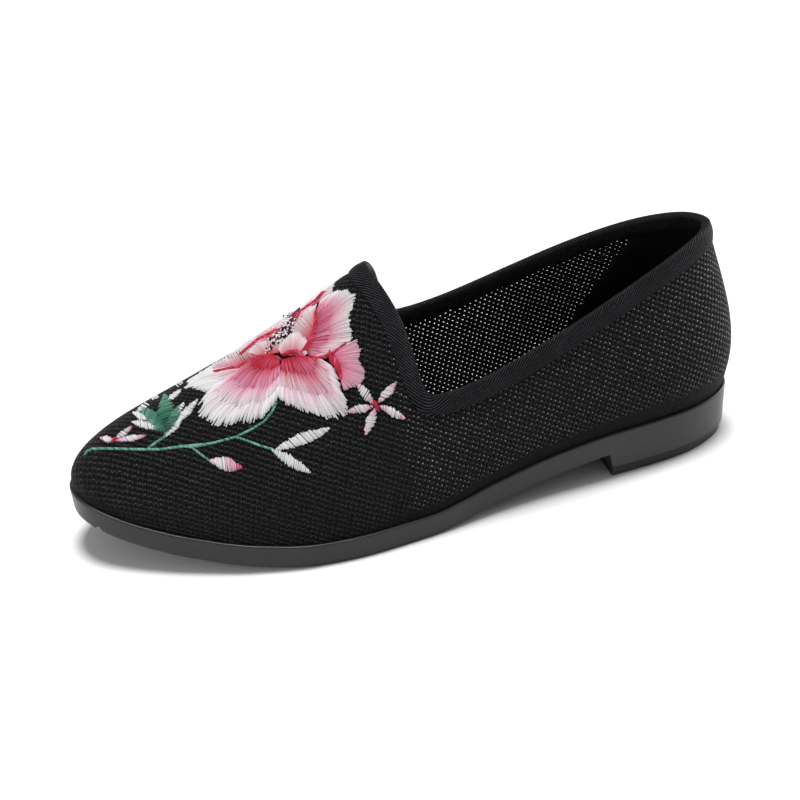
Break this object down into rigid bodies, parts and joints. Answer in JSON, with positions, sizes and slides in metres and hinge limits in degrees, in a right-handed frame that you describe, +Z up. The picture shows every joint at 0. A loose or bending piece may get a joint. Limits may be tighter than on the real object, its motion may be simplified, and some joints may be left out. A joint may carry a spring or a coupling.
{
  "type": "chinese cloth shoe",
  "caption": "Left cloth slip-on shoe: hollow black mesh upper with a flower embroidered on the vamp, taped collar, insole and moulded rubber sole with a low heel.",
  "frame": {"origin": "bottom centre of the shoe's bounding box, on the floor", "axes": "+Z up, -Y from heel to toe, +X toward the outer side of the foot"},
  "size_m": [0.0832, 0.2498, 0.0893],
  "materials": {
    "sole_rubber": "satin moulded rubber",
    "top_piece_rubber": "matt hard rubber",
    "insole_cloth": "matt cloth",
    "mesh_cloth": "open woven mesh",
    "twill_tape": "diagonal twill"
  },
  "bodies": {
    "root": {"outsole": "sole_rubber", "heel_top_piece": "top_piece_rubber", "insole": "insole_cloth", "upper": "mesh_cloth", "collar_binding": "twill_tape"}
  },
  "joints": []
}
